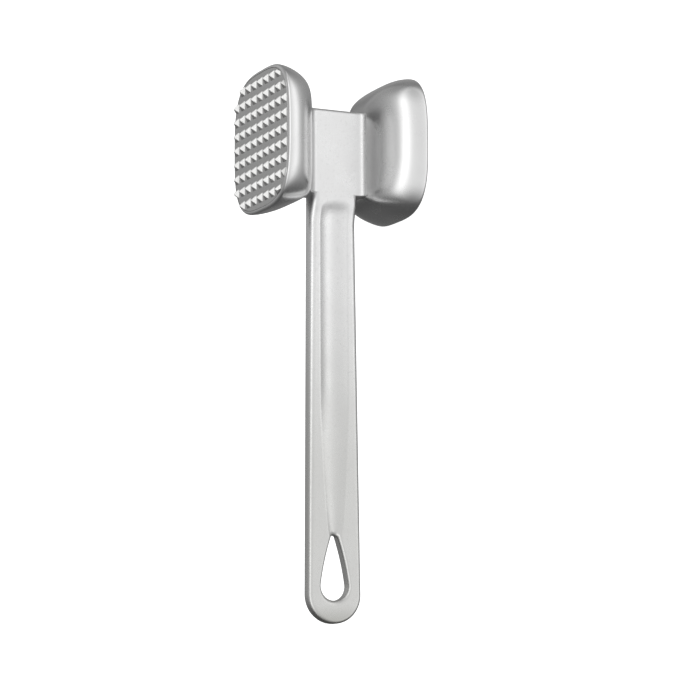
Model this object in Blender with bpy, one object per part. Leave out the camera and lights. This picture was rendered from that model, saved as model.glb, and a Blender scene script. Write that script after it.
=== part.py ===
"""A double-faced meat mallet in cast aluminium, as six pieces that press together: a flat grip with a hanging eye,
a neck block, two bowl-shaped halves of the head, and a toothed and a smooth striking plate.

Units are metres. +X runs up the mallet, from the round end of the grip to the top of the head. +Z is the head's
axis, from the smooth striking face to the toothed one. The origin is the centre of the smooth striking face, and
the mallet stands on that face, on z = 0, with its grip level. +Y is the thickness of the grip.
"""

import math

import bmesh
import bpy
from mathutils import Vector

# Fits
GAP = 0.0003  # between pieces that touch

# Head
HEAD_LENGTH = 0.0664  # between the smooth face and the ground of the toothed face
FACE_HALF_HEIGHT = 0.0314  # along X
FACE_HALF_WIDTH = 0.0301  # along Y
FACE_EXPONENT = 3.2  # superellipse exponent of the face's outline
RIM_RADIUS = 0.0013  # rounding between the face and the bowl's flank
BOWL_DEPTH = 0.0199  # from the face to the end on the neck
SIDE_FULLNESS = 2.1  # exponents of the flank's curve: front and back
SIDE_SHARE = 0.80  # of that curve that is used, so that it meets the neck aslant
TOP_FULLNESS = 1.70  # at the top of the head
BOTTOM_FULLNESS = 1.42  # on the grip's side
SQUARING = 3.2  # how late the outline squares up on its way to the neck

# Neck
NECK_TOP = 0.0156  # half-height above the head's axis
NECK_BOTTOM = 0.0224  # half-height below it, where the grip starts
NECK_HALF_THICKNESS = 0.0060
FLARE_RADIUS = 0.0048  # of the hollow curve at each end of the neck's front and back
FLARE_TURN = math.radians(64)  # that it turns through
FLARE_STEPS = 6
NECK_EXPONENT = 7.0
SPIGOT_HALF_HEIGHT = 0.0100
SPIGOT_HALF_THICKNESS = 0.0034
SPIGOT_LENGTH = 0.0060
SPIGOT_EXPONENT = 4.0
NECK_END_HALF_THICKNESS = NECK_HALF_THICKNESS + FLARE_RADIUS * (1 - math.cos(FLARE_TURN))

# Striking plates, each let into the face of its bowl
RIM_WIDTH = 0.0014  # of the bowl's face around the plate
PLATE_THICKNESS = 0.0040
BOSS_RADIUS = 0.0080
BOSS_LENGTH = 0.0030

# Teeth: square pyramids on a square grid
TOOTH_PITCH = 0.0064
TOOTH_BASE = 0.0040
TOOTH_HEIGHT = 0.0020
TOOTH_ROWS = 9
END_ROW_TEETH = 7  # the first and last rows are shorter
TOOTH_SINK = 0.0003  # how far a pyramid runs down into its plate
TOOTH_MARGIN = 0.0003  # between the outermost teeth and the plate's edge

# Grip
GRIP_END = 0.2081  # from the head's axis to the round end
GRIP_HALF_THICKNESS = 0.0030
GRIP_TOP_HALF_WIDTH = 0.0106
GRIP_END_HALF_WIDTH = 0.0124
GRIP_EDGE_RADIUS = 0.0012
GRIP_TIP_HALF_WIDTH = 0.0018  # of the flat that closes the round end
ROOT_HALF_THICKNESS = 0.0059  # where the grip swells to meet the neck
FRONT_ROOT_LENGTH = 0.0130
BACK_ROOT_LENGTH = 0.0022
TANG_HALF_WIDTH = 0.0070
TANG_HALF_THICKNESS = 0.0028
TANG_LENGTH = 0.0160

# Hanging eye: a teardrop between two circles, joined by slightly bowed sides
EYE_POINT = 0.1705  # from the head's axis to its blunt point
EYE_END = 0.1982  # from the head's axis to its round end
EYE_POINT_RADIUS = 0.0017
EYE_END_RADIUS = 0.0063
EYE_SIDE_RADIUS = 0.1100

# Channel: a shallow trough down each face of the grip, fading out at the eye
CHANNEL_START = 0.0250
CHANNEL_END = 0.1745  # inside the eye
CHANNEL_OPENING = 0.0060  # length over which it opens to its full width
CHANNEL_NARROWING = 0.0600  # length over which it narrows to its end
CHANNEL_RISE = (0.1000, 0.1350)  # where its floor rises from its full depth to its end's
CHANNEL_TAPER = 0.45  # exponent of its narrowing, below 1 for rounded sides
CHANNEL_STATIONS = 18
STATION_CROWDING = 1.6  # exponent that draws the stations towards the start
CHANNEL_HALF_WIDTH = 0.0072
CHANNEL_END_HALF_WIDTH = 0.0016
CHANNEL_DEPTH = 0.0016
CHANNEL_END_DEPTH = 0.0007
CHANNEL_CLEARANCE = 0.00015  # of the cutter's lips above the grip's face

# Mesh density
OUTLINE_POINTS = 56  # round the head
BOWL_STEPS = 10
CORNER_STEPS = 3
ARC_STEPS = 12
ROOT_STEPS = 10
SHARP_ANGLE = math.radians(32)


def clear_scene():
    for obj in list(bpy.data.objects):
        bpy.data.objects.remove(obj)


def metal(name, colour, roughness):
    material = bpy.data.materials.new(name)
    material.use_nodes = True
    shader = material.node_tree.nodes["Principled BSDF"]
    shader.inputs["Base Color"].default_value = (*colour, 1.0)
    shader.inputs["Metallic"].default_value = 1.0
    shader.inputs["Roughness"].default_value = roughness
    return material


def loft(name, loops, material=None):
    """One closed body through loops of equal length, with a flat cap on the first and the last."""
    shape = bmesh.new()
    rings = [[shape.verts.new(point) for point in loop] for loop in loops]
    for ring, following in zip(rings, rings[1:]):
        for i in range(len(ring)):
            j = (i + 1) % len(ring)
            shape.faces.new((ring[i], ring[j], following[j], following[i]))
    shape.faces.new(rings[0])
    shape.faces.new(rings[-1])
    bmesh.ops.recalc_face_normals(shape, faces=shape.faces)
    return finished(name, shape, material)


def finished(name, shape, material):
    mesh = bpy.data.meshes.new(name)
    shape.to_mesh(mesh)
    shape.free()
    mesh.shade_smooth()
    mesh.set_sharp_from_angle(angle=SHARP_ANGLE)
    if material:
        mesh.materials.append(material)
    obj = bpy.data.objects.new(name, mesh)
    bpy.context.scene.collection.objects.link(obj)
    return obj


def combine(target, other, operation):
    """A Boolean of `target` and `other`, which stays as a hidden helper."""
    modifier = target.modifiers.new(other.name, "BOOLEAN")
    modifier.operation = operation
    modifier.object = other
    other.hide_render = True
    other.display_type = "WIRE"


def power(value, exponent):
    return math.copysign(abs(value) ** exponent, value)


def outline(top, bottom, half_width, exponent, z):
    """A superellipse across Z that reaches `top` on its +X side and `bottom` on its -X side."""
    loop = []
    for i in range(OUTLINE_POINTS):
        angle = 2 * math.pi * i / OUTLINE_POINTS
        x = power(math.cos(angle), 2 / exponent)
        y = power(math.sin(angle), 2 / exponent)
        loop.append(Vector((x * (top if x > 0 else bottom), y * half_width, z)))
    return loop


def inset_face(inset, z):
    """The face's outline, drawn in by `inset`."""
    half_height = FACE_HALF_HEIGHT - inset
    return outline(half_height, half_height, FACE_HALF_WIDTH - inset, FACE_EXPONENT, z)


def blend(start, end, along):
    return start + (end - start) * along


def fullness(along, exponent):
    return (1 - along**exponent) ** (1 / exponent)


def side_fullness(along):
    """Part of a rounder curve, stretched to run from 1 at the rim to 0 at the neck."""
    least = fullness(SIDE_SHARE, SIDE_FULLNESS)
    return (fullness(SIDE_SHARE * along, SIDE_FULLNESS) - least) / (1 - least)


def bowl_flank():
    """Loops from the neck's outline out to the rim and round it."""
    loops = []
    for i in range(BOWL_STEPS):
        along = math.cos(math.pi / 2 * i / BOWL_STEPS)
        depth = blend(RIM_RADIUS, BOWL_DEPTH, along)
        top = blend(NECK_TOP, FACE_HALF_HEIGHT, fullness(along, TOP_FULLNESS))
        bottom = blend(NECK_BOTTOM, FACE_HALF_HEIGHT, fullness(along, BOTTOM_FULLNESS))
        half_width = blend(NECK_END_HALF_THICKNESS, FACE_HALF_WIDTH, side_fullness(along))
        exponent = blend(FACE_EXPONENT, NECK_EXPONENT, along**SQUARING)
        loops.append(outline(top, bottom, half_width, exponent, depth))
    for i in range(CORNER_STEPS + 1):
        turn = math.pi / 2 * i / CORNER_STEPS
        loops.append(inset_face(RIM_RADIUS * (1 - math.cos(turn)), RIM_RADIUS * (1 - math.sin(turn))))
    return loops


def build_bowl(name, material):
    """Half of the head, face down: a recess for the plate below, a socket for the neck's spigot above."""
    socket = (SPIGOT_HALF_HEIGHT + GAP, SPIGOT_HALF_HEIGHT + GAP, SPIGOT_HALF_THICKNESS + GAP, SPIGOT_EXPONENT)
    boss_hole = (BOSS_RADIUS + GAP, BOSS_RADIUS + GAP, BOSS_RADIUS + GAP, 2.0)
    recess_floor = PLATE_THICKNESS + GAP
    loops = [outline(*socket, BOWL_DEPTH - SPIGOT_LENGTH - GAP), outline(*socket, BOWL_DEPTH)]
    loops += bowl_flank()
    loops += [inset_face(RIM_WIDTH, 0.0), inset_face(RIM_WIDTH, recess_floor)]
    loops += [outline(*boss_hole, recess_floor), outline(*boss_hole, recess_floor + BOSS_LENGTH)]
    return loft(name, loops, material)


def build_plate(name, material):
    """A striking plate, face down on z = 0, with a round locating boss on its back."""
    boss = (BOSS_RADIUS, BOSS_RADIUS, BOSS_RADIUS, 2.0)
    loops = [outline(*boss, PLATE_THICKNESS + BOSS_LENGTH), outline(*boss, PLATE_THICKNESS)]
    loops += [inset_face(RIM_WIDTH + GAP, PLATE_THICKNESS), inset_face(RIM_WIDTH + GAP, 0.0)]
    return loft(name, loops, material)


def tooth_centres():
    middle = (TOOTH_ROWS - 1) / 2
    for row in range(TOOTH_ROWS):
        teeth = END_ROW_TEETH if row in (0, TOOTH_ROWS - 1) else TOOTH_ROWS
        for column in range(teeth):
            yield (row - middle) * TOOTH_PITCH, (column - (teeth - 1) / 2) * TOOTH_PITCH


def build_teeth():
    """Pyramids pointing down from z = 0, each with its base sunk into the plate above."""
    half = TOOTH_BASE / 2 * (1 + TOOTH_SINK / TOOTH_HEIGHT)
    shape = bmesh.new()
    for x, y in tooth_centres():
        base = [
            shape.verts.new((x + sx * half, y + sy * half, TOOTH_SINK))
            for sx, sy in ((1, 1), (-1, 1), (-1, -1), (1, -1))
        ]
        tip = shape.verts.new((x, y, -TOOTH_HEIGHT))
        shape.faces.new(base)
        for i in range(4):
            shape.faces.new((base[i], base[(i + 1) % 4], tip))
    bmesh.ops.recalc_face_normals(shape, faces=shape.faces)
    return finished("teeth", shape, None)


def build_tooth_plate(material):
    plate = build_plate("tooth_plate", material)
    teeth = build_teeth()
    ends = (-2 * TOOTH_HEIGHT, PLATE_THICKNESS / 2)
    within = loft("tooth_field", [inset_face(RIM_WIDTH + GAP + TOOTH_MARGIN, z) for z in ends])
    combine(teeth, within, "INTERSECT")
    combine(plate, teeth, "UNION")
    return plate, (teeth, within)


def build_neck(material):
    """The block between the bowls, with a spigot into each and a mortise for the grip's tang."""
    half_length = HEAD_LENGTH / 2 - BOWL_DEPTH - GAP
    spigot = (SPIGOT_HALF_HEIGHT, SPIGOT_HALF_HEIGHT, SPIGOT_HALF_THICKNESS, SPIGOT_EXPONENT)
    half = [outline(*spigot, half_length + SPIGOT_LENGTH), outline(*spigot, half_length)]
    for step in range(FLARE_STEPS + 1):
        turn = FLARE_TURN * (1 - step / FLARE_STEPS)
        half_thickness = NECK_HALF_THICKNESS + FLARE_RADIUS * (1 - math.cos(turn))
        block = (NECK_TOP, NECK_BOTTOM, half_thickness, NECK_EXPONENT)
        half.append(outline(*block, half_length - FLARE_RADIUS * (math.sin(FLARE_TURN) - math.sin(turn))))
    other_half = [[Vector((p.x, p.y, -p.z)) for p in loop] for loop in reversed(half)]
    middle = Vector((0, 0, HEAD_LENGTH / 2))
    neck = loft("neck", [[point + middle for point in loop] for loop in half + other_half], material)
    mortise = bar("mortise", TANG_HALF_WIDTH + GAP, TANG_HALF_THICKNESS + GAP, NECK_BOTTOM - TANG_LENGTH - GAP)
    combine(neck, mortise, "DIFFERENCE")
    return neck


def section(distance, half_width, front, back):
    """A rounded rectangle across the grip, `distance` below the head's axis and `front` and `back` thick."""
    loop = []
    for corner in range(4):
        for step in range(CORNER_STEPS + 1):
            turn = math.pi / 2 * (corner + step / CORNER_STEPS)
            side_z = 1 if corner in (0, 3) else -1
            face_y = back if corner in (0, 1) else -front
            z = side_z * (half_width - GRIP_EDGE_RADIUS) + GRIP_EDGE_RADIUS * math.cos(turn)
            y = face_y - math.copysign(GRIP_EDGE_RADIUS, face_y) + GRIP_EDGE_RADIUS * math.sin(turn)
            loop.append(Vector((-distance, y, HEAD_LENGTH / 2 + z)))
    return loop


def bar(name, half_width, half_thickness, start):
    """A plain bar from `start` below the head's axis to well clear of the neck."""
    ends = (start, NECK_BOTTOM + TANG_LENGTH)
    return loft(name, [section(end, half_width, half_thickness, half_thickness) for end in ends])


def grip_half_width(distance):
    """The grip widens evenly from the neck to the middle of its round end."""
    along = (distance - NECK_BOTTOM) / (GRIP_END - GRIP_END_HALF_WIDTH - NECK_BOTTOM)
    return blend(GRIP_TOP_HALF_WIDTH, GRIP_END_HALF_WIDTH, along)


def root_thickness(distance, length):
    """The grip thins from the neck's thickness to its own in a soft S-shaped sweep of the given length."""
    along = min(1.0, max(0.0, (distance - NECK_BOTTOM) / length))
    return blend(GRIP_HALF_THICKNESS, ROOT_HALF_THICKNESS, (1 + math.cos(math.pi * along)) / 2)


def grip_sections():
    shoulder = NECK_BOTTOM + GAP
    tang = (TANG_HALF_WIDTH, TANG_HALF_THICKNESS, TANG_HALF_THICKNESS)
    loops = [section(NECK_BOTTOM - TANG_LENGTH, *tang), section(shoulder, *tang)]
    for step in range(ROOT_STEPS + 1):
        distance = shoulder + (FRONT_ROOT_LENGTH - GAP) * step / ROOT_STEPS
        front = root_thickness(distance, FRONT_ROOT_LENGTH)
        back = root_thickness(distance, BACK_ROOT_LENGTH)
        loops.append(section(distance, grip_half_width(distance), front, back))
    middle = GRIP_END - GRIP_END_HALF_WIDTH
    faces = (GRIP_HALF_THICKNESS, GRIP_HALF_THICKNESS)
    for step in range(ARC_STEPS):
        turn = math.pi / 2 * step / ARC_STEPS
        distance = middle + GRIP_END_HALF_WIDTH * math.sin(turn)
        loops.append(section(distance, GRIP_END_HALF_WIDTH * math.cos(turn), *faces))
    loops.append(section(GRIP_END, GRIP_TIP_HALF_WIDTH, *faces))
    return loops


def arc(centre, radius, first, last):
    """Points from angle `first` to `last`, as (distance below the head's axis, distance across)."""
    turns = [blend(first, last, step / ARC_STEPS) for step in range(ARC_STEPS + 1)]
    return [(centre[0] + radius * math.cos(turn), centre[1] + radius * math.sin(turn)) for turn in turns]


def build_eye():
    """The teardrop's outline, run right through the grip."""
    point = EYE_POINT + EYE_POINT_RADIUS
    end = EYE_END - EYE_END_RADIUS
    to_point = EYE_SIDE_RADIUS - EYE_POINT_RADIUS
    to_end = EYE_SIDE_RADIUS - EYE_END_RADIUS
    along = (to_point**2 - to_end**2 + end**2 - point**2) / (2 * (end - point))
    across = -math.sqrt(to_end**2 - (along - end) ** 2)
    leaves = math.atan2(-across, point - along)
    arrives = math.atan2(-across, end - along)
    side = arc((point, 0.0), EYE_POINT_RADIUS, math.pi, leaves)
    side += arc((along, across), EYE_SIDE_RADIUS, leaves, arrives)[1:]
    side += arc((end, 0.0), EYE_END_RADIUS, arrives, 0.0)[1:]
    points = side + [(distance, -half) for distance, half in reversed(side[1:-1])]
    faces = (-2 * GRIP_HALF_THICKNESS, 2 * GRIP_HALF_THICKNESS)
    return loft("eye", [[Vector((-x, y, HEAD_LENGTH / 2 + z)) for x, z in points] for y in faces])


def build_channel(name, side, root_length):
    """A long cutter with a round belly that sinks into the grip's face on the given side, -1 or 1."""
    loops = []
    for station in range(CHANNEL_STATIONS + 1):
        along = (station / CHANNEL_STATIONS) ** STATION_CROWDING
        distance = blend(CHANNEL_START, CHANNEL_END, along)
        opening = math.sqrt(1 - (1 - min(1.0, (distance - CHANNEL_START + GAP) / CHANNEL_OPENING)) ** 2)
        closing = min(1.0, (CHANNEL_END - distance) / CHANNEL_NARROWING) ** CHANNEL_TAPER
        half_width = blend(CHANNEL_END_HALF_WIDTH, CHANNEL_HALF_WIDTH, min(opening, closing))
        rise = min(1.0, max(0.0, (distance - CHANNEL_RISE[0]) / (CHANNEL_RISE[1] - CHANNEL_RISE[0])))
        depth = blend(CHANNEL_DEPTH, CHANNEL_END_DEPTH, rise) * opening
        lip = root_thickness(distance, root_length) + CHANNEL_CLEARANCE
        loop = []
        for step in range(ARC_STEPS + 1):
            across = -math.cos(math.pi * step / ARC_STEPS)
            y = lip - (depth + CHANNEL_CLEARANCE) * (1 - across**2)
            loop.append(Vector((-distance, side * y, HEAD_LENGTH / 2 + half_width * across)))
        for across in (1, -1):
            y = ROOT_HALF_THICKNESS + GRIP_HALF_THICKNESS
            loop.append(Vector((-distance, side * y, HEAD_LENGTH / 2 + half_width * across)))
        loops.append(loop)
    return loft(name, loops)


def build_handle(material):
    handle = loft("handle", grip_sections(), material)
    combine(handle, build_channel("front_channel", -1, FRONT_ROOT_LENGTH), "DIFFERENCE")
    combine(handle, build_channel("back_channel", 1, BACK_ROOT_LENGTH), "DIFFERENCE")
    combine(handle, build_eye(), "DIFFERENCE")
    return handle


def turn_over(obj):
    """Puts a piece built face down on z = 0 face up at the toothed end of the head."""
    obj.rotation_euler = (math.pi, 0, 0)
    obj.location = (0, 0, HEAD_LENGTH)


def build_mallet():
    grip_metal = metal("grip_aluminium", (0.80, 0.80, 0.79), 0.38)
    neck_metal = metal("neck_aluminium", (0.82, 0.82, 0.81), 0.42)
    bowl_metal = metal("bowl_aluminium", (0.72, 0.72, 0.72), 0.28)
    plate_metal = metal("plate_aluminium", (0.78, 0.78, 0.77), 0.34)
    pieces = [
        build_handle(grip_metal),
        build_neck(neck_metal),
        build_bowl("smooth_head", bowl_metal),
        build_bowl("toothed_head", bowl_metal),
        build_plate("smooth_plate", plate_metal),
    ]
    turn_over(pieces[3])
    tooth_plate, helpers = build_tooth_plate(plate_metal)
    for obj in (tooth_plate, *helpers):
        turn_over(obj)
    mallet = bpy.data.objects.new("mallet", None)
    bpy.context.scene.collection.objects.link(mallet)
    for obj in (*pieces, tooth_plate):
        obj.parent = mallet


clear_scene()
build_mallet()
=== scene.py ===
"""Looks of a double-faced cast-aluminium meat mallet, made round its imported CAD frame.

Units are metres, in the frame's own axes. +X runs up the mallet, and +Y through the thickness of the grip.
+Z runs along the head's axis, from the smooth striking face, which stands on the floor at z = 0, to the
toothed one.
"""

import math

import bmesh
import bpy
from mathutils import Matrix, Vector


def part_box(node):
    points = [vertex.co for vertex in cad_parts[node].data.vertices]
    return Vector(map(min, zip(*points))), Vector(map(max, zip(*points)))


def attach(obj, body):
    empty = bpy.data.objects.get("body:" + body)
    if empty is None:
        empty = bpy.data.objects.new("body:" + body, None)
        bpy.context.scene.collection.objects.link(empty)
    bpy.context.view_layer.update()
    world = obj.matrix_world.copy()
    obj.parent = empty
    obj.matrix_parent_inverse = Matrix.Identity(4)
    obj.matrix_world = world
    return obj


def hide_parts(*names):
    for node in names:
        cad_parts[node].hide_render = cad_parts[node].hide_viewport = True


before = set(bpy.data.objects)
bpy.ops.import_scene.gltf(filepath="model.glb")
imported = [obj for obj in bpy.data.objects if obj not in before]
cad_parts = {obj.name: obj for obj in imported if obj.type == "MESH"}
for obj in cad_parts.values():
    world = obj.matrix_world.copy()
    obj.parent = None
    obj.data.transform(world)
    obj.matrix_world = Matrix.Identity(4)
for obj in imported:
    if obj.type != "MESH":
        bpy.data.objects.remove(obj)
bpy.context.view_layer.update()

BODY = "root"

# Sizes that the frame gives
_, head_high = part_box("toothed_head")
_, smooth_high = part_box("smooth_head")
neck_low, neck_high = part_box("neck")
grip_low, grip_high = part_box("handle")
_, tooth_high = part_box("tooth_plate")
HEAD_LENGTH = head_high.z
AXIS_Z = HEAD_LENGTH / 2
FACE_HALF_HEIGHT = head_high.x
FACE_HALF_WIDTH = head_high.y
BOWL_DEPTH = smooth_high.z
NECK_TOP = neck_high.x
NECK_BOTTOM = -neck_low.x
NECK_END_HALF_THICKNESS = neck_high.y
GRIP_END = -grip_low.x
GRIP_END_RADIUS = (grip_high.z - grip_low.z) / 2
GRIP_END_CENTRE = GRIP_END - GRIP_END_RADIUS
TOOTH_HEIGHT = tooth_high.z - HEAD_LENGTH

# Head
FACE_EXPONENT = 3.2  # superellipse exponent of the face's outline
NECK_EXPONENT = 7.0  # and of the bowl's end on the neck
RIM_RADIUS = 0.0013
SIDE_FULLNESS = 2.1  # exponent of the flank's curve on the bowl's two sides
SIDE_SHARE = 0.80  # of that curve that is used, so that it meets the neck aslant
TOP_FULLNESS = 1.70  # exponent of the flank's curve at the top of the head
BOTTOM_FULLNESS = 1.42  # and at the bottom
SQUARING = 3.2  # how late the outline turns from the face's shape to the neck's
OUTLINE_POINTS = 208
BOWL_STEPS = 56
RIM_STEPS = 7

# Striking plates
RIM_WIDTH = 0.0014
PLATE_SEAM = 0.00013
PLATE_INSET = RIM_WIDTH + PLATE_SEAM
PLATE_THICKNESS = 0.0040
PLATE_EDGE = 0.00012  # width of its broken edge

# Teeth
TOOTH_PITCH = 0.0064
TOOTH_BASE = 0.0040
TOOTH_ROWS = 9
END_ROW_TEETH = 7
TOOTH_SINK = 0.0004  # how far the teeth run down into their plate
TOOTH_WEAR = 0.00010  # width of the worn edges

# Neck
NECK_HALF_THICKNESS = 0.0060
NECK_TOP_RADIUS = 0.0022
NECK_BOTTOM_RADIUS = 0.0008
FLARE_RADIUS = 0.0048
NECK_LAP = 0.0004  # how far each end runs into its bowl
NECK_CORNER_STEPS = 8
FLARE_STEPS = 18

# Grip
GRIP_HALF_THICKNESS = 0.0030
GRIP_TOP_HALF_WIDTH = 0.0108
FRONT_EDGE = 0.0028  # rounding of the front's edge at the root
BACK_EDGE = 0.0010  # and of the back's
GRIP_END_EDGE = 0.0017  # and of both at the far end
FRONT_ROOT_LENGTH = 0.0130  # length over which the front sweeps out to the neck
BACK_ROOT_LENGTH = 0.0008  # and the back
ROOT_LAP = 0.0012  # how far the grip's root runs up into the neck
ROOT_PROUD = 0.00001  # how far its faces stand proud of the neck there
END_TURN = math.radians(87)  # where the round end closes
GRIP_EDGE_STEPS = 8
GRIP_END_STEPS = 24

# Hanging eye: a teardrop between two circles, joined by slightly bowed sides
EYE_POINT = 0.1705  # from the head's axis to its blunt point
EYE_END = 0.1982  # from the head's axis to its round end
EYE_POINT_RADIUS = 0.0017
EYE_END_RADIUS = 0.0063
EYE_SIDE_RADIUS = 0.1100
EYE_STEPS = (14, 16, 24)  # round its point, along a side and round its end
EYE_EDGE = 0.0014  # width of its rounding
EYE_EDGE_STRETCH = 1.9  # how many times as wide that is at the eye's two ends
EYE_EDGE_DROP = 0.0020  # how deep it is

# Channel
CHANNEL_START = 0.0226
CHANNEL_END = 0.1745
CHANNEL_NARROWING = 0.0600  # length over which it narrows to its end
CHANNEL_RISE = (0.1000, 0.1350)  # where its floor rises from its full depth to its end's
CHANNEL_HALF_WIDTH = 0.0072
CHANNEL_END_HALF_WIDTH = 0.0016
CHANNEL_TAPER = 0.45  # exponent of its narrowing: under 1, it keeps its width longer
CHANNEL_DEPTH = 0.00165
CHANNEL_END_DEPTH = 0.0007
CHANNEL_LIP = 0.0012  # width of the soft lip along its edge
CHANNEL_OPENING = 0.0065  # length of its rounded top end
CHANNEL_SINKING = 0.0085  # length over which it reaches its depth

# Mesh of the grip's faces
ROOT_SPACING = 0.0004  # between rows above the channel
OPENING_SPACING = 0.00018  # over the channel's rounded top end
SWEEP_SPACING = 0.0006  # over the rest of the root's sweep
GRIP_SPACING = 0.0011  # and down the grip
WALL_MARGINS = (0.0003, 0.0015)  # outside and inside the channel's edge, where the columns are closest
COLUMN_SHARES = (0.66, 0.33)  # of the way out, the least that those two places come to
COLUMN_COUNTS = (4, 14, 10)  # outside the channel, over its wall and over its floor

# Angles over which an edge is shown sharp
SHARP_EDGE = math.radians(38)
SHARP_TOOTH_EDGE = math.radians(25)

# Metals: colour, colour of the cloudy patches, colour where shade is painted on, roughness, strength of the
# pebbling
GRIP_METAL = ((0.86, 0.86, 0.86), (0.84, 0.84, 0.84), (0.50, 0.50, 0.475), 0.30, 0.30)
NECK_METAL = ((0.86, 0.86, 0.86), (0.84, 0.84, 0.84), (0.68, 0.68, 0.68), 0.31, 0.30)
BOWL_METAL = ((0.82, 0.82, 0.82), (0.80, 0.80, 0.80), (0.51, 0.51, 0.51), 0.25, 0.05)
TOOTHED_METAL = ((0.89, 0.89, 0.88), (0.86, 0.86, 0.85), (0.66, 0.66, 0.655), 0.28, 0.30)
GROUND_METAL = ((0.82, 0.82, 0.81), (0.78, 0.78, 0.77), None, 0.26, 0.15)
RUBBED_COLOUR = (0.93, 0.93, 0.92)
RUBBED_SHARE = 0.5  # of that colour on an edge
RUBBED_EDGE = (0.52, 0.60)  # pointiness of an edge that is rubbed
FLECK_DARKENING = 0.72
FLECK_STRENGTH = 0.7
FLECK_HEIGHT = 0.8  # beside the pebbles'
FLECKS = (0.56, 0.72)  # noise values that make a fleck
CLOUDS = (0.35, 0.65)  # and a patch
PEBBLE_NOISE = (1900.0, 3.0, 0.6)  # scale, detail and roughness
FLECK_NOISE = (800.0, 2.0, 0.5)
CLOUD_NOISE = (75.0, 4.0, 0.55)
PEBBLE_HEIGHT = 0.0001
SMOOTHER, ROUGHER = 0.16, 0.18  # change of roughness over the pebbles, beside their strength
CLOUD_ROUGHNESS = (-0.02, 0.03)
ROUGHNESS_NOISE = (0.3, 0.7)  # noise values between which the roughness changes

# Where shade is painted on a piece's skin, or fades out again: from the first distance to the second
GRIP_PAINTED_SHADE = (0.0350, 0.1500)  # painted shade down the grip, over these distances below the head's axis
GRIP_PAINTED_SHADE_SHARE = 0.51  # of the painted shade, the tip adding the rest
# painted shade round the grip's tip
TIP_PAINTED_SHADE = (0.1990, 0.2080)
BOWL_PAINTED_SHADE = (0.0130, 0.0205)  # painted shade in a bowl's hollow, fading out over these distances from the middle of the neck
# painted shade where the neck runs into the bowls, over these distances from the middle of the neck
NECK_PAINTED_SHADE = (0.0085, 0.0140)
TOOTH_PAINTED_SHADE = (0.00005, 0.0003)  # painted shade on the ground between the teeth, fading out over these heights above the plate's face

# Camera
CAMERA_TURN = math.radians(25.56)  # round the mallet's long axis, from the grip's face towards the teeth
CAMERA_TILT = math.radians(8.50)  # towards the grip's end
CAMERA_ROLL = math.radians(-0.345)
CAMERA_DISTANCE = 1.1456
CAMERA_LENS = 134.49  # mm
CAMERA_RIGHT = 0.00863  # what it looks at, right of the middle of the head
CAMERA_DOWN = 0.0890  # and down from it
CAMERA_CLIP = (0.05, 20.0)

# Floor
FLOOR_HALF_SIZE = 6.0
FLOOR_DROP = 0.0002  # below the smooth face, so that the two don't meet
FLOOR_GLOW = 0.85
FLOOR_COLOURS = ((0.90, 0.90, 0.90), (0.94, 0.94, 0.94))
FLOOR_NOISE = (9.0, 3.0, 0.5)

# Radiance round the mallet's long axis: degrees from the front (-Y), positive towards the toothed face (+Z)
RING = (
    (-180, 0.20),
    (-155, 0.28),
    (-125, 0.24),
    (-100, 0.27),
    (-80, 0.36),
    (-66, 0.56),
    (-55, 0.86),
    (-44, 1.12),
    (-28, 0.88),
    (0, 0.78),
    (30, 0.84),
    (44, 1.22),
    (54, 1.50),
    (64, 1.02),
    (78, 0.46),
    (100, 0.36),
    (125, 0.36),
    (150, 0.41),
    (180, 0.20),
)
RING_SCALE = 3.0  # the curve holds values up to 1, so it is stored over this
LEAST_LIGHT = 0.08  # from any direction
LOW_WINDOW = (-1.25, 0.15)  # range of x, plus a lean, over which light from the grip's end fades in
LOW_LEAN = (0.6, 0.15)  # shares of -y and of z in the lean
HIGH_WINDOW = (0.55, 0.98)  # range of x over which light from above the head fades
HIGH_SHARE = 0.60  # to this share of itself


# Mesh helpers


def blend(start, end, along):
    return start + (end - start) * along


def smoothstep(value):
    value = min(1.0, max(0.0, value))
    return value * value * (3 - 2 * value)


def finished(name, points, faces, material):
    """An object from points and faces, with its normals out and only its real edges sharp."""
    mesh = bpy.data.meshes.new(name)
    mesh.from_pydata(points, [], faces)
    shape = bmesh.new()
    shape.from_mesh(mesh)
    bmesh.ops.recalc_face_normals(shape, faces=shape.faces)
    shape.to_mesh(mesh)
    shape.free()
    mesh.shade_smooth()
    mesh.set_sharp_from_angle(angle=SHARP_EDGE)
    mesh.materials.append(material)
    obj = bpy.data.objects.new(name, mesh)
    bpy.context.scene.collection.objects.link(obj)
    return obj


def loft(name, loops, material):
    """One closed body through loops of equal length, with a flat cap on the first and the last."""
    points = [point for loop in loops for point in loop]
    count = len(loops[0])
    faces = []
    for row in range(len(loops) - 1):
        for i in range(count):
            j = (i + 1) % count
            faces.append((row * count + i, row * count + j, (row + 1) * count + j, (row + 1) * count + i))
    faces.append(tuple(range(count)))
    faces.append(tuple(range((len(loops) - 1) * count, len(loops) * count)))
    return finished(name, points, faces, material)


def trim(target, other):
    """Keeps what of `target` lies inside `other`, and removes `other`."""
    modifier = target.modifiers.new(other.name, "BOOLEAN")
    modifier.operation = "INTERSECT"
    modifier.object = other
    bpy.context.view_layer.update()
    evaluated = target.evaluated_get(bpy.context.evaluated_depsgraph_get())
    mesh = bpy.data.meshes.new_from_object(evaluated)
    target.modifiers.clear()
    target.data = mesh
    bpy.data.objects.remove(other)


def face_up(obj):
    """Turns a piece built face down on z = 0 over to the toothed end of the head."""
    obj.data.transform(Matrix.Translation((0, 0, HEAD_LENGTH)) @ Matrix.Rotation(math.pi, 4, "X"))


def stand_in(obj, node):
    """Puts a piece on the mallet's one body, in place of a CAD node."""
    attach(obj, BODY)
    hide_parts(node)


# Head


def power(value, exponent):
    """`value` raised to `exponent`, keeping its sign."""
    return math.copysign(abs(value) ** exponent, value)


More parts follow.
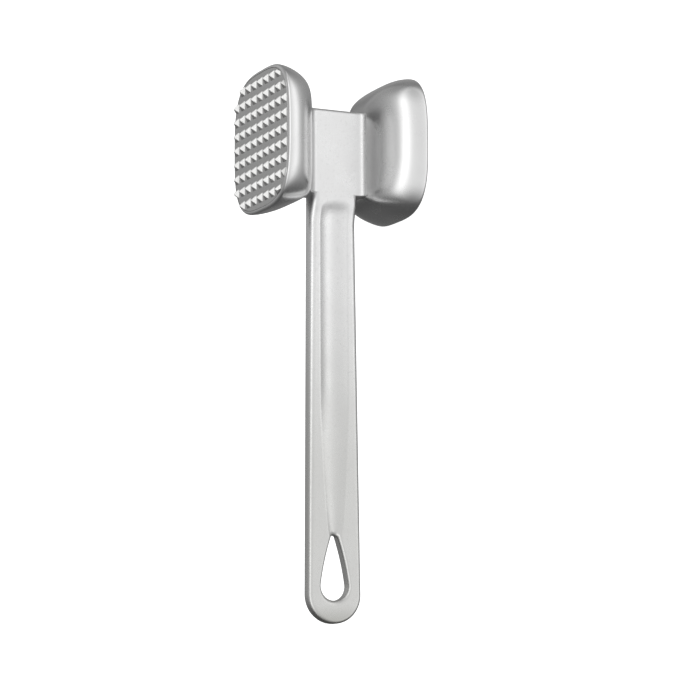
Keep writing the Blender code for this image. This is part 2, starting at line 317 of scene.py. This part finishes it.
def outline(top, bottom, half_width, exponent, z):
    """A superellipse across Z that reaches `top` on its +X side and `bottom` on its -X side."""
    loop = []
    for i in range(OUTLINE_POINTS):
        angle = 2 * math.pi * i / OUTLINE_POINTS
        x = power(math.cos(angle), 2 / exponent)
        y = power(math.sin(angle), 2 / exponent)
        loop.append(Vector((x * (top if x > 0 else bottom), y * half_width, z)))
    return loop


def inset_face(inset, z):
    """The striking face's outline, drawn in by `inset`."""
    half_height = FACE_HALF_HEIGHT - inset
    return outline(half_height, half_height, FACE_HALF_WIDTH - inset, FACE_EXPONENT, z)


def fullness(along, exponent):
    """How far the flank stands out, from 1 at the rim (along 0) to 0 at the neck (along 1)."""
    return (1 - along**exponent) ** (1 / exponent)


def side_fullness(along):
    """Part of a rounder curve, stretched to run from 1 at the rim to 0 at the neck."""
    least = fullness(SIDE_SHARE, SIDE_FULLNESS)
    return (fullness(SIDE_SHARE * along, SIDE_FULLNESS) - least) / (1 - least)


def bowl_flank():
    """Loops from the neck's outline out to the rim and round it."""
    loops = []
    for i in range(BOWL_STEPS):
        along = math.cos(math.pi / 2 * i / BOWL_STEPS)
        depth = blend(RIM_RADIUS, BOWL_DEPTH, along)
        top = blend(NECK_TOP, FACE_HALF_HEIGHT, fullness(along, TOP_FULLNESS))
        bottom = blend(NECK_BOTTOM, FACE_HALF_HEIGHT, fullness(along, BOTTOM_FULLNESS))
        half_width = blend(NECK_END_HALF_THICKNESS, FACE_HALF_WIDTH, side_fullness(along))
        exponent = blend(FACE_EXPONENT, NECK_EXPONENT, along**SQUARING)
        loops.append(outline(top, bottom, half_width, exponent, depth))
    for i in range(RIM_STEPS + 1):
        turn = math.pi / 2 * i / RIM_STEPS
        loops.append(inset_face(RIM_RADIUS * (1 - math.cos(turn)), RIM_RADIUS * (1 - math.sin(turn))))
    return loops


def build_bowl(name, material):
    """Half of the head, face down, with a recess for its plate."""
    loops = bowl_flank()
    loops += [inset_face(RIM_WIDTH, 0.0), inset_face(RIM_WIDTH, PLATE_THICKNESS + PLATE_SEAM)]
    return loft(name, loops, material)


def build_plate(name, material):
    """A striking plate, face down on z = 0, with its edge broken."""
    loops = [
        inset_face(PLATE_INSET, PLATE_THICKNESS),
        inset_face(PLATE_INSET, PLATE_EDGE),
        inset_face(PLATE_INSET + PLATE_EDGE, 0.0),
    ]
    return loft(name, loops, material)


# Teeth


def tooth_centres():
    """(x, y) of every tooth: full rows, with a shorter one at each end."""
    middle = (TOOTH_ROWS - 1) / 2
    for row in range(TOOTH_ROWS):
        teeth = END_ROW_TEETH if row in (0, TOOTH_ROWS - 1) else TOOTH_ROWS
        for column in range(teeth):
            yield (row - middle) * TOOTH_PITCH, (column - (teeth - 1) / 2) * TOOTH_PITCH


def build_teeth(material):
    """Square pyramids pointing down from z = 0, each with its slanting edges and its tip slightly worn."""
    half = TOOTH_BASE / 2 * (1 + TOOTH_SINK / TOOTH_HEIGHT)
    shape = bmesh.new()
    slanting = []
    for x, y in tooth_centres():
        base = [
            shape.verts.new((x + sx * half, y + sy * half, TOOTH_SINK))
            for sx, sy in ((1, 1), (-1, 1), (-1, -1), (1, -1))
        ]
        tip = shape.verts.new((x, y, -TOOTH_HEIGHT))
        shape.faces.new(base)
        for i in range(4):
            shape.faces.new((base[i], base[(i + 1) % 4], tip))
        slanting += tip.link_edges
    bmesh.ops.bevel(shape, geom=slanting, offset=TOOTH_WEAR, segments=2, affect="EDGES")
    bmesh.ops.recalc_face_normals(shape, faces=shape.faces)
    mesh = bpy.data.meshes.new("teeth")
    shape.to_mesh(mesh)
    shape.free()
    mesh.materials.append(material)
    obj = bpy.data.objects.new("teeth", mesh)
    bpy.context.scene.collection.objects.link(obj)
    return obj


def build_tooth_plate(material):
    """The toothed plate, with the teeth trimmed to its edge and joined to it as one mesh."""
    plate = build_plate("toothed_face_plate", material)
    teeth = build_teeth(material)
    ends = (-2 * TOOTH_HEIGHT, PLATE_THICKNESS / 2)
    field = loft("field", [inset_face(PLATE_INSET + PLATE_EDGE, z) for z in ends], material)
    trim(teeth, field)
    shape = bmesh.new()
    shape.from_mesh(plate.data)
    shape.from_mesh(teeth.data)
    shape.to_mesh(plate.data)
    shape.free()
    bpy.data.objects.remove(teeth)
    plate.data.shade_smooth()
    plate.data.set_sharp_from_angle(angle=SHARP_TOOTH_EDGE)
    face_up(plate)
    return plate


# Neck


def neck_section(half_thickness, z):
    """A rectangle across Z with rounded corners, rounder at the top of the head."""
    corners = (
        (NECK_TOP, 1, NECK_TOP_RADIUS, 0),
        (-NECK_BOTTOM, 1, NECK_BOTTOM_RADIUS, 1),
        (-NECK_BOTTOM, -1, NECK_BOTTOM_RADIUS, 2),
        (NECK_TOP, -1, NECK_TOP_RADIUS, 3),
    )
    loop = []
    for end, side, radius, quarter in corners:
        middle_x = end - math.copysign(radius, end)
        middle_y = side * (half_thickness - radius)
        for step in range(NECK_CORNER_STEPS + 1):
            turn = math.pi / 2 * (quarter + step / NECK_CORNER_STEPS)
            loop.append(Vector((middle_x + radius * math.cos(turn), middle_y + radius * math.sin(turn), z)))
    return loop


def build_neck(material):
    """The block between the bowls, its front and back curving out to meet them."""
    half_length = AXIS_Z - BOWL_DEPTH
    flare = NECK_END_HALF_THICKNESS - NECK_HALF_THICKNESS
    last = math.acos(1 - flare / FLARE_RADIUS)
    half = [neck_section(NECK_END_HALF_THICKNESS, half_length + NECK_LAP)]
    for step in range(FLARE_STEPS + 1):
        turn = last * (1 - step / FLARE_STEPS)
        half_thickness = NECK_HALF_THICKNESS + FLARE_RADIUS * (1 - math.cos(turn))
        z = half_length - FLARE_RADIUS * (math.sin(last) - math.sin(turn))
        half.append(neck_section(half_thickness, z))
    loops = [[Vector((p.x, p.y, AXIS_Z + p.z)) for p in loop] for loop in half]
    loops += [[Vector((p.x, p.y, AXIS_Z - p.z)) for p in loop] for loop in reversed(half)]
    return loft("neck_block", loops, material)


# Grip. A place on it is a distance below the head's axis, and a distance across from the grip's middle.


def arc(centre, radius, first, last, steps):
    """Points from angle `first` to `last`, as (distance, across)."""
    distance, across = centre
    turns = [blend(first, last, step / steps) for step in range(steps + 1)]
    return [(distance + radius * math.cos(turn), across + radius * math.sin(turn)) for turn in turns]


def eye_outline(offset):
    """One side of the teardrop, grown by `offset`, from its point to its round end."""
    point = EYE_POINT + EYE_POINT_RADIUS
    end = EYE_END - EYE_END_RADIUS
    to_point = EYE_SIDE_RADIUS - EYE_POINT_RADIUS
    to_end = EYE_SIDE_RADIUS - EYE_END_RADIUS
    along = (to_point**2 - to_end**2 + end**2 - point**2) / (2 * (end - point))
    across = -math.sqrt(to_end**2 - (along - end) ** 2)
    leaves = math.atan2(-across, point - along)
    arrives = math.atan2(-across, end - along)
    point_steps, side_steps, end_steps = EYE_STEPS
    side = arc((point, 0.0), EYE_POINT_RADIUS + offset, math.pi, leaves, point_steps)
    side += arc((along, across), EYE_SIDE_RADIUS + offset, leaves, arrives, side_steps)[1:]
    side += arc((end, 0.0), EYE_END_RADIUS + offset, arrives, 0.0, end_steps)[1:]
    for i in (0, -1):
        side[i] = (side[i][0], 0.0)  # exactly on the middle line
    return side


def eye_rim(share):
    """The same outline, grown by a share of its rounding, which is wider at the eye's two ends."""
    rim = []
    for hole, grown in zip(eye_outline(0.0), eye_outline(EYE_EDGE)):
        distance = blend(hole[0], grown[0], share * EYE_EDGE_STRETCH)
        rim.append((distance, blend(hole[1], grown[1], share)))
    return rim


def spaced(first, last, step):
    """Evenly spaced values from `first` up to but not including `last`."""
    count = max(1, round((last - first) / step))
    return [blend(first, last, i / count) for i in range(count)]


def grip_half_width(distance):
    along = (distance - NECK_BOTTOM) / (GRIP_END_CENTRE - NECK_BOTTOM)
    return blend(GRIP_TOP_HALF_WIDTH, GRIP_END_RADIUS, along)


def half_thickness(distance, side):
    """The grip's half-thickness in front (side -1) or behind (side 1).

    It sweeps out to the neck's own at the root, gently in front and sharply behind.
    """
    length = FRONT_ROOT_LENGTH if side < 0 else BACK_ROOT_LENGTH
    along = min(1.0, max(0.0, (distance - NECK_BOTTOM) / length))
    sweep = (1 + math.cos(math.pi * along)) / 2
    return blend(GRIP_HALF_THICKNESS, NECK_HALF_THICKNESS + ROOT_PROUD, sweep)


def grip_edge(distance, side):
    """The radius of the grip's rounded edge."""
    along = min(1.0, (distance - NECK_BOTTOM) / (GRIP_END_CENTRE - NECK_BOTTOM))
    return blend(FRONT_EDGE if side < 0 else BACK_EDGE, GRIP_END_EDGE, along)


def edge_point(distance, side, share):
    """Where the row at `distance` ends: the grip's outline, drawn in by a share of its edge's radius."""
    offset = share * grip_edge(distance, side)
    if distance <= GRIP_END_CENTRE:
        return distance, grip_half_width(distance) - offset
    sine = (distance - GRIP_END_CENTRE) / (GRIP_END_RADIUS - GRIP_END_EDGE)
    turn = math.asin(min(math.sin(END_TURN), sine))
    radius = GRIP_END_RADIUS - offset
    return GRIP_END_CENTRE + radius * math.sin(turn), radius * math.cos(turn)


def channel_half_width(distance):
    closing = min(1.0, max(0.0, (CHANNEL_END - distance) / CHANNEL_NARROWING)) ** CHANNEL_TAPER
    return blend(CHANNEL_END_HALF_WIDTH, CHANNEL_HALF_WIDTH, closing)


def channel_depth(distance, across):
    """A trough with a round belly and a soft lip, closed at the top by a rounded end."""
    if not CHANNEL_START < distance < CHANNEL_END:
        return 0.0
    half = channel_half_width(distance)
    short = max(0.0, 1 - (distance - CHANNEL_START) / CHANNEL_OPENING)
    inside = half * (1 - math.hypot(across / half, short))
    if inside <= 0:
        return 0.0
    lip = CHANNEL_LIP * half / CHANNEL_HALF_WIDTH
    softened = inside**2 / (2 * lip) if inside < lip else inside - lip / 2
    hollow = 1 - (1 - softened / (half - lip / 2)) ** 2
    hollow *= smoothstep((distance - CHANNEL_START) / CHANNEL_SINKING)
    start, end = CHANNEL_RISE
    risen = smoothstep((distance - start) / (end - start))
    return blend(CHANNEL_DEPTH, CHANNEL_END_DEPTH, risen) * hollow


def columns(distance, outer, inner):
    """Places across half of a row, closest together at the channel's wall."""
    wall = channel_half_width(distance)
    outside, inside = WALL_MARGINS
    far, near = [blend(inner, outer, share) for share in COLUMN_SHARES]
    knots = [outer, min(outer - outside, max(wall + outside, far)), max(wall - inside, near), inner]
    places = []
    for start, end, count in zip(knots, knots[1:], COLUMN_COUNTS):
        places += [blend(start, end, i / count) for i in range(count)]
    return places + [inner]


def grip_rows():
    """(distance, eye step or None) for each row across the grip."""
    eye = eye_rim(1.0)
    opened = CHANNEL_START + CHANNEL_OPENING
    swept = NECK_BOTTOM + FRONT_ROOT_LENGTH
    distances = spaced(NECK_BOTTOM - ROOT_LAP, CHANNEL_START, ROOT_SPACING)
    distances += spaced(CHANNEL_START, opened, OPENING_SPACING)
    distances += spaced(opened, swept, SWEEP_SPACING)
    distances += spaced(swept, eye[0][0], GRIP_SPACING)
    rows = [(distance, None) for distance in distances]
    rows += [(distance, step) for step, (distance, _) in enumerate(eye)]
    inner_radius = GRIP_END_RADIUS - GRIP_END_EDGE
    first = math.asin((eye[-1][0] - GRIP_END_CENTRE) / inner_radius)
    for step in range(1, GRIP_END_STEPS + 1):
        turn = blend(first, END_TURN, step / GRIP_END_STEPS)
        rows.append((GRIP_END_CENTRE + inner_radius * math.sin(turn), None))
    return rows


class Skin:
    """Points and faces of the grip, gathered strip by strip."""

    def __init__(self):
        self.points = []
        self.faces = []

    def add(self, distance, across, side, height):
        self.points.append(Vector((-distance, side * height, AXIS_Z + across)))
        return len(self.points) - 1

    def strip(self, first, second, closed):
        pairs = len(first) if closed else len(first) - 1
        for i in range(pairs):
            j = (i + 1) % len(first)
            self.faces.append((first[i], first[j], second[j], second[i]))

    def strips(self, lines, closed):
        for first, second in zip(lines, lines[1:]):
            self.strip(first, second, closed)


def face_half(skin, rows, side, half, middle_line):
    """One half of a face: for each row, a line of points from its edge to its middle or to the eye."""
    eye = eye_rim(1.0)
    grid = []
    for number, (distance, step) in enumerate(rows):
        inner = 0.0 if step is None else eye[step][1]
        edge_distance, outer = edge_point(distance, side, 1.0)
        line = []
        for place in columns(distance, outer, inner):
            if place == inner and inner == 0.0 and middle_line:
                line.append(middle_line[number])
                continue
            height = half_thickness(distance, side) - channel_depth(distance, place)
            line.append(skin.add(edge_distance, half * place, side, height))
        grid.append(line)
    skin.strips(grid, False)
    return grid


def edge_ring(skin, rows, side, turn):
    """A line round the outer edge's rounding, from the root round the tip and back."""
    ring = []
    for half in (-1, 1):
        order = rows if half == -1 else reversed(rows)
        for distance, _ in order:
            place, across = edge_point(distance, side, 1 - math.sin(turn))
            drop = grip_edge(distance, side) * (1 - math.cos(turn))
            ring.append(skin.add(place, half * across, side, half_thickness(distance, side) - drop))
    return ring


def eye_edge_ring(skin, side, turn):
    """A line round the eye's rounding."""
    drop = EYE_EDGE_DROP * (1 - math.cos(turn))
    profile = eye_rim(1 - math.sin(turn))
    heights = [GRIP_HALF_THICKNESS - channel_depth(*place) - drop for place in eye_rim(1.0)]
    ring = [skin.add(*place, side, height) for place, height in zip(profile, heights)]
    other = zip(reversed(profile[1:-1]), reversed(heights[1:-1]))
    return ring + [skin.add(place, -across, side, height) for (place, across), height in other]


def face_and_edges(skin, rows, side):
    """The front (side -1) or the back with its rounded edges: (outer rings, eye rings, first row)."""
    first_half = face_half(skin, rows, side, -1, None)
    second_half = face_half(skin, rows, side, 1, [line[-1] for line in first_half])
    rings = [[line[0] for line in first_half] + [line[0] for line in reversed(second_half)]]
    eye_rows = [number for number, (_, step) in enumerate(rows) if step is not None]
    eye_ring = [second_half[number][-1] for number in eye_rows]
    eye_ring += [first_half[number][-1] for number in reversed(eye_rows[1:-1])]
    eye_rings = [eye_ring]
    for step in range(1, GRIP_EDGE_STEPS + 1):
        turn = math.pi / 2 * step / GRIP_EDGE_STEPS
        rings.append(edge_ring(skin, rows, side, turn))
        eye_rings.append(eye_edge_ring(skin, side, turn))
    skin.strips(rings, False)
    skin.strips(eye_rings, True)
    return rings, eye_rings, first_half[0] + second_half[0][-2::-1]


def build_handle(material):
    """The grip as one closed skin: a face in front and behind, rounded edges, and the eye right through."""
    skin = Skin()
    rows = grip_rows()
    front_rings, front_eye, front_row = face_and_edges(skin, rows, -1)
    back_rings, back_eye, back_row = face_and_edges(skin, rows, 1)
    skin.strip(front_rings[-1], back_rings[-1], False)
    skin.strip(front_eye[-1], back_eye[-1], True)
    root_cap = front_row + [ring[-1] for ring in front_rings[1:]]
    root_cap += [ring[-1] for ring in reversed(back_rings[1:])] + back_row[::-1]
    root_cap += [ring[0] for ring in back_rings[1:]] + [ring[0] for ring in reversed(front_rings[1:])]
    skin.faces.append(tuple(root_cap))
    return finished("grip_with_eye", skin.points, skin.faces, material)


# Materials


class Nodes:
    """A short way to write a node tree."""

    def __init__(self, tree):
        self.tree = tree

    def add(self, kind, **inputs):
        node = self.tree.nodes.new(kind)
        for name, value in inputs.items():
            self.put(node, name.replace("_", " "), value)
        return node

    def put(self, node, socket, value):
        if isinstance(value, bpy.types.NodeSocket):
            self.tree.links.new(value, node.inputs[socket])
        else:
            node.inputs[socket].default_value = value

    def noise(self, place, scale, detail, roughness):
        node = self.add("ShaderNodeTexNoise", Scale=scale, Detail=detail, Roughness=roughness)
        self.tree.links.new(place, node.inputs["Vector"])
        return node.outputs["Fac"]

    def between(self, value, low, high, to_low=0.0, to_high=1.0):
        node = self.tree.nodes.new("ShaderNodeMapRange")
        node.interpolation_type = "SMOOTHSTEP"
        for socket, amount in zip(node.inputs[1:5], (low, high, to_low, to_high)):
            socket.default_value = amount
        self.tree.links.new(value, node.inputs[0])
        return node.outputs[0]

    def math(self, operation, first, second):
        node = self.tree.nodes.new("ShaderNodeMath")
        node.operation = operation
        for socket, value in zip(node.inputs, (first, second)):
            if isinstance(value, bpy.types.NodeSocket):
                self.tree.links.new(value, socket)
            else:
                socket.default_value = value
        return node.outputs[0]

    def mix(self, factor, first, second):
        node = self.tree.nodes.new("ShaderNodeMix")
        node.data_type = "RGBA"
        colours = [socket for socket in node.inputs if socket.type == "RGBA"]
        self.tree.links.new(factor, node.inputs[0])
        for socket, value in zip(colours, (first, second)):
            if isinstance(value, bpy.types.NodeSocket):
                self.tree.links.new(value, socket)
            else:
                socket.default_value = (*value, 1.0)
        return [socket for socket in node.outputs if socket.type == "RGBA"][0]


def cast_metal(name, metal, where=None):
    """Satin cast aluminium: a pebbled skin, faint cloudy patches, rubbed edges, and painted shade as `where`
    says.
    """
    colour, patch_colour, painted_shade_colour, roughness, speckle = metal
    material = bpy.data.materials.new(name)
    material.use_nodes = True
    nodes = Nodes(material.node_tree)
    shader = material.node_tree.nodes["Principled BSDF"]
    shader.inputs["Metallic"].default_value = 1.0
    place = nodes.add("ShaderNodeTexCoord").outputs["Object"]
    pebbles = nodes.noise(place, *PEBBLE_NOISE)
    clouds = nodes.noise(place, *CLOUD_NOISE)
    flecks = nodes.noise(place, *FLECK_NOISE)
    edges = nodes.add("ShaderNodeNewGeometry").outputs["Pointiness"]
    rubbed = nodes.between(edges, *RUBBED_EDGE, 0.0, RUBBED_SHARE)
    patches = nodes.mix(nodes.between(clouds, *CLOUDS), colour, patch_colour)
    fleck = nodes.between(flecks, *FLECKS, 0.0, FLECK_STRENGTH * speckle)
    spotted = nodes.mix(fleck, patches, tuple(FLECK_DARKENING * c for c in patch_colour))
    skin = nodes.mix(rubbed, spotted, RUBBED_COLOUR)
    # painted shade: the skin is darkened towards its shade colour where `where` says
    if where:
        skin = nodes.mix(where(nodes, place), skin, painted_shade_colour)
    nodes.put(shader, "Base Color", skin)
    least, most = roughness - SMOOTHER * speckle, roughness + ROUGHER * speckle
    rough = nodes.between(pebbles, *ROUGHNESS_NOISE, least, most)
    rough = nodes.math("ADD", rough, nodes.between(clouds, *ROUGHNESS_NOISE, *CLOUD_ROUGHNESS))
    nodes.put(shader, "Roughness", rough)
    height = nodes.math("ADD", pebbles, nodes.math("MULTIPLY", flecks, FLECK_HEIGHT))
    bump = nodes.add("ShaderNodeBump", Strength=speckle, Distance=PEBBLE_HEIGHT)
    nodes.put(bump, "Height", height)
    nodes.put(shader, "Normal", bump.outputs["Normal"])
    return material


# Where shade is painted on a piece's skin: each gives 0 for the unshaded skin and 1 for full painted shade.


def coordinate(nodes, place, axis):
    return nodes.add("ShaderNodeSeparateXYZ", Vector=place).outputs[axis]


def from_middle(nodes, place):
    """Distance along the head from the middle of the neck."""
    return nodes.math("ABSOLUTE", nodes.math("SUBTRACT", coordinate(nodes, place, 2), AXIS_Z), 0.0)


def towards_end(nodes, place):
    """Painted shade, growing down the grip and again round its tip."""
    distance = nodes.math("MULTIPLY", coordinate(nodes, place, 0), -1.0)
    down = nodes.between(distance, *GRIP_PAINTED_SHADE, 0.0, GRIP_PAINTED_SHADE_SHARE)
    return nodes.math("ADD", down, nodes.between(distance, *TIP_PAINTED_SHADE, 0.0, 1.0 - GRIP_PAINTED_SHADE_SHARE))


def near_neck(nodes, place):
    """Painted shade in a bowl's hollow beside the neck."""
    return nodes.between(from_middle(nodes, place), *BOWL_PAINTED_SHADE, 1.0, 0.0)


def near_bowls(nodes, place):
    """Painted shade where the neck runs into the bowls."""
    return nodes.between(from_middle(nodes, place), *NECK_PAINTED_SHADE)


def between_teeth(nodes, place):
    """Painted shade on the ground between the teeth, as far as their feet."""
    shade_up_to, unshaded_from = [HEAD_LENGTH + height for height in TOOTH_PAINTED_SHADE]
    return nodes.between(coordinate(nodes, place, 2), shade_up_to, unshaded_from, 1.0, 0.0)


# Studio


def camera_axes():
    """The camera's right, up and back in the frame."""
    back = Vector(
        (
            -math.sin(CAMERA_TILT),
            -math.cos(CAMERA_TILT) * math.cos(CAMERA_TURN),
            math.cos(CAMERA_TILT) * math.sin(CAMERA_TURN),
        )
    )
    level = Vector((0, -math.sin(CAMERA_TURN), -math.cos(CAMERA_TURN)))
    upright = back.cross(level)
    right = level * math.cos(CAMERA_ROLL) + upright * math.sin(CAMERA_ROLL)
    up = upright * math.cos(CAMERA_ROLL) - level * math.sin(CAMERA_ROLL)
    return right, up, back


def make_camera():
    right, up, back = camera_axes()
    camera = bpy.data.objects.new("camera", bpy.data.cameras.new("camera"))
    camera.data.lens = CAMERA_LENS
    camera.data.clip_start, camera.data.clip_end = CAMERA_CLIP
    place = Vector((0, 0, AXIS_Z)) + right * CAMERA_RIGHT - up * CAMERA_DOWN + back * CAMERA_DISTANCE
    axes = Matrix((right, up, back)).transposed().to_4x4()
    camera.matrix_world = Matrix.Translation(place) @ axes
    bpy.context.scene.collection.objects.link(camera)
    bpy.context.scene.camera = camera


def make_floor():
    """A pale floor, bright enough that only a faint contact shadow shows on it."""
    material = bpy.data.materials.new("pale_floor")
    material.use_nodes = True
    nodes = Nodes(material.node_tree)
    shader = material.node_tree.nodes["Principled BSDF"]
    place = nodes.add("ShaderNodeTexCoord").outputs["Object"]
    tint = nodes.mix(nodes.noise(place, *FLOOR_NOISE), *FLOOR_COLOURS)
    nodes.put(shader, "Base Color", tint)
    shader.inputs["Roughness"].default_value = 0.9
    shader.inputs["Specular IOR Level"].default_value = 0.0
    shader.inputs["Emission Color"].default_value = (1.0, 1.0, 1.0, 1.0)
    shader.inputs["Emission Strength"].default_value = FLOOR_GLOW
    mesh = bpy.data.meshes.new("floor")
    corners = ((-1, -1), (1, -1), (1, 1), (-1, 1))
    points = [(FLOOR_HALF_SIZE * x, FLOOR_HALF_SIZE * y, 0) for x, y in corners]
    mesh.from_pydata(points, [], [(0, 1, 2, 3)])
    mesh.materials.append(material)
    floor = bpy.data.objects.new("floor", mesh)
    bpy.context.scene.collection.objects.link(floor)
    floor.visible_glossy = False
    floor.location.z = -FLOOR_DROP


def make_world():
    """A ring of light round the mallet, fading towards the grip's end and above the head, on plain white."""
    world = bpy.data.worlds.new("studio")
    bpy.context.scene.world = world
    world.use_nodes = True
    tree = world.node_tree
    nodes = Nodes(tree)
    background = tree.nodes["Background"]
    direction = nodes.add("ShaderNodeTexCoord").outputs["Generated"]
    split = nodes.add("ShaderNodeSeparateXYZ", Vector=direction)
    x, y, z = split.outputs
    angle = nodes.math("ARCTAN2", z, nodes.math("MULTIPLY", y, -1.0))
    ramp = tree.nodes.new("ShaderNodeFloatCurve")
    curve = ramp.mapping.curves[0]
    for degrees, radiance in RING[1:-1]:
        curve.points.new(degrees / 360 + 0.5, radiance / RING_SCALE)
    curve.points[0].location = (0.0, RING[0][1] / RING_SCALE)
    curve.points[-1].location = (1.0, RING[-1][1] / RING_SCALE)
    for point in curve.points:
        point.handle_type = "AUTO_CLAMPED"
    ramp.mapping.update()
    turns = nodes.math("MULTIPLY", angle, 1 / (2 * math.pi))
    nodes.put(ramp, "Value", nodes.math("ADD", turns, 0.5))
    ring = nodes.math("MULTIPLY", ramp.outputs[0], RING_SCALE)
    by_y, by_z = LOW_LEAN
    lean = nodes.math("SUBTRACT", nodes.math("MULTIPLY", z, by_z), nodes.math("MULTIPLY", y, by_y))
    low = nodes.between(nodes.math("ADD", x, lean), *LOW_WINDOW)
    high = nodes.between(x, *HIGH_WINDOW, 1.0, HIGH_SHARE)
    window = nodes.math("MULTIPLY", low, high)
    light = nodes.math("ADD", nodes.math("MULTIPLY", ring, window), LEAST_LIGHT)
    nodes.put(background, "Strength", light)
    background.inputs["Color"].default_value = (1.0, 1.0, 1.0, 1.0)
    plain = tree.nodes.new("ShaderNodeBackground")
    plain.inputs["Strength"].default_value = 1.0
    plain.inputs["Color"].default_value = (1.0, 1.0, 1.0, 1.0)
    path = tree.nodes.new("ShaderNodeLightPath")
    either = tree.nodes.new("ShaderNodeMixShader")
    tree.links.new(path.outputs["Is Camera Ray"], either.inputs[0])
    tree.links.new(background.outputs[0], either.inputs[1])
    tree.links.new(plain.outputs[0], either.inputs[2])
    tree.links.new(either.outputs[0], tree.nodes["World Output"].inputs["Surface"])


def build():
    grip = cast_metal("grip_cast", GRIP_METAL, towards_end)
    neck = cast_metal("neck_cast", NECK_METAL, near_bowls)
    bowl = cast_metal("bowl_cast", BOWL_METAL, near_neck)
    toothed = cast_metal("toothed_cast", TOOTHED_METAL, between_teeth)
    ground = cast_metal("ground_face", GROUND_METAL)
    stand_in(build_handle(grip), "handle")
    stand_in(build_neck(neck), "neck")
    stand_in(build_bowl("smooth_bowl", bowl), "smooth_head")
    toothed_bowl = build_bowl("toothed_bowl", bowl)
    face_up(toothed_bowl)
    stand_in(toothed_bowl, "toothed_head")
    stand_in(build_plate("smooth_face_plate", ground), "smooth_plate")
    stand_in(build_tooth_plate(toothed), "tooth_plate")


build()
make_floor()
make_world()
make_camera()
bpy.context.scene.view_settings.view_transform = "Standard"
